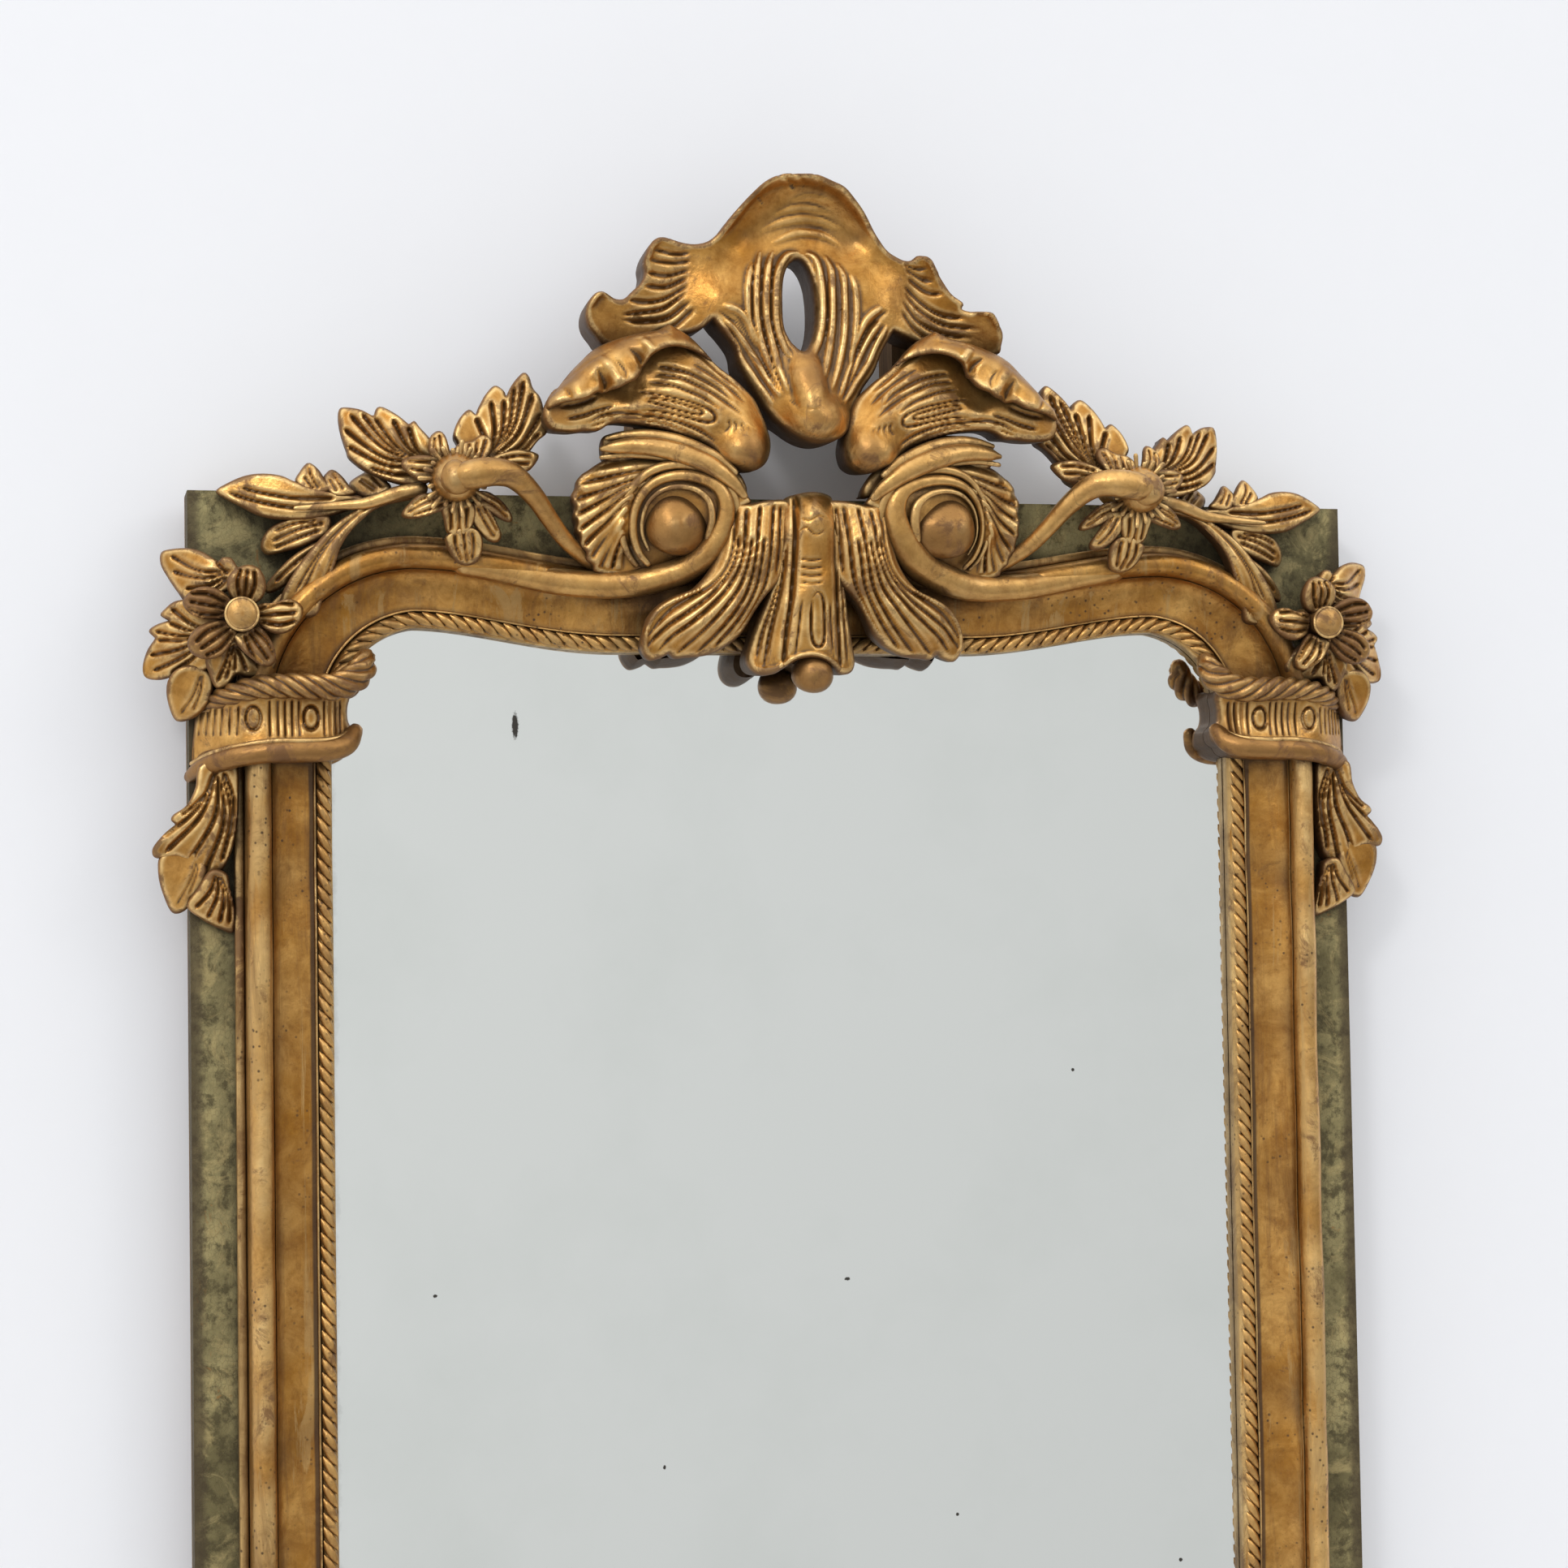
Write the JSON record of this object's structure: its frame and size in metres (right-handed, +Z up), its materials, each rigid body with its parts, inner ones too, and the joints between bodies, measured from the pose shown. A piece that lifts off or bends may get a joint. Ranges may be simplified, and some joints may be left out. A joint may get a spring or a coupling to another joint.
{
  "type": "pier mirror",
  "caption": "Tall wall mirror in a painted wooden carcass, with a gilded moulding, a serpentine head, capitals and an open carved cresting.",
  "frame": {"origin": "on the back face of the top rail, midway between the two hanging rings, at the height of their pivots", "axes": "+Z up, +X to the viewer's right, +Y into the wall, so the front faces -Y"},
  "size_m": [0.758, 0.1078, 1.581],
  "materials": {
    "gilding": "worn water gilding over red bole on carved wood",
    "green_paint": "crackled green paint",
    "mirror": "old silvered plate, lightly foxed",
    "bare_wood": "bare aged softwood",
    "iron": "dark forged iron"
  },
  "bodies": {
    "mirror": {"backing_board_1": "bare_wood", "backing_board_2": "bare_wood", "backing_board_3": "bare_wood", "base_left": "gilding", "base_right": "gilding", "capital_left": "gilding", "capital_right": "gilding", "capital_rope_left": "gilding", "capital_rope_right": "gilding", "carcass_rail_bottom": "green_paint", "carcass_rail_top": "green_paint", "carcass_stile_left": "green_paint", "carcass_stile_right": "green_paint", "corner_flower_left": "gilding", "corner_flower_right": "gilding", "corner_leaf_left": "gilding", "corner_leaf_right": "gilding", "crest_leaf_left": "gilding", "crest_leaf_right": "gilding", "crest_shell": "gilding", "crest_strut_left": "bare_wood", "crest_strut_right": "bare_wood", "drop_leaf": "gilding", "flower_leaf_inner_left": "gilding", "flower_leaf_inner_right": "gilding", "flower_leaf_outer_left": "gilding", "flower_leaf_outer_right": "gilding", "glass_block_left_lower": "bare_wood", "glass_block_left_upper": "bare_wood", "glass_block_right_lower": "bare_wood", "glass_block_right_upper": "bare_wood", "glass_plate": "mirror", "hanger_plate_left": "iron", "hanger_plate_right": "iron", "moulding_bottom": "gilding", "moulding_head_left": "gilding", "moulding_head_right": "gilding", "moulding_left": "gilding", "moulding_right": "gilding", "pendant_leaf_left": "gilding", "pendant_leaf_right": "gilding", "rope_bottom": "gilding", "rope_head_left": "gilding", "rope_head_right": "gilding", "rope_left": "gilding", "rope_right": "gilding", "sprig_leaf_left": "gilding", "sprig_leaf_right": "gilding", "sweep_leaf_left": "gilding", "sweep_leaf_right": "gilding", "top_flower_left": "gilding", "top_flower_right": "gilding", "volute_left": "gilding", "volute_right": "gilding", "wave_comb_left": "gilding", "wave_comb_right": "gilding"},
    "ring_left": {"hanging_ring_left": "iron"},
    "ring_right": {"hanging_ring_right": "iron"}
  },
  "joints": [
    {"name": "ring_left_swing", "type": "hinge", "parent": "mirror", "child": "ring_left", "pos_m": [-0.2, 0.00665, 0], "axis": [1, 0, 0], "range_deg": [0, 180]},
    {"name": "ring_right_swing", "type": "hinge", "parent": "mirror", "child": "ring_right", "pos_m": [0.2, 0.00665, 0], "axis": [1, 0, 0], "range_deg": [0, 180]}
  ]
}
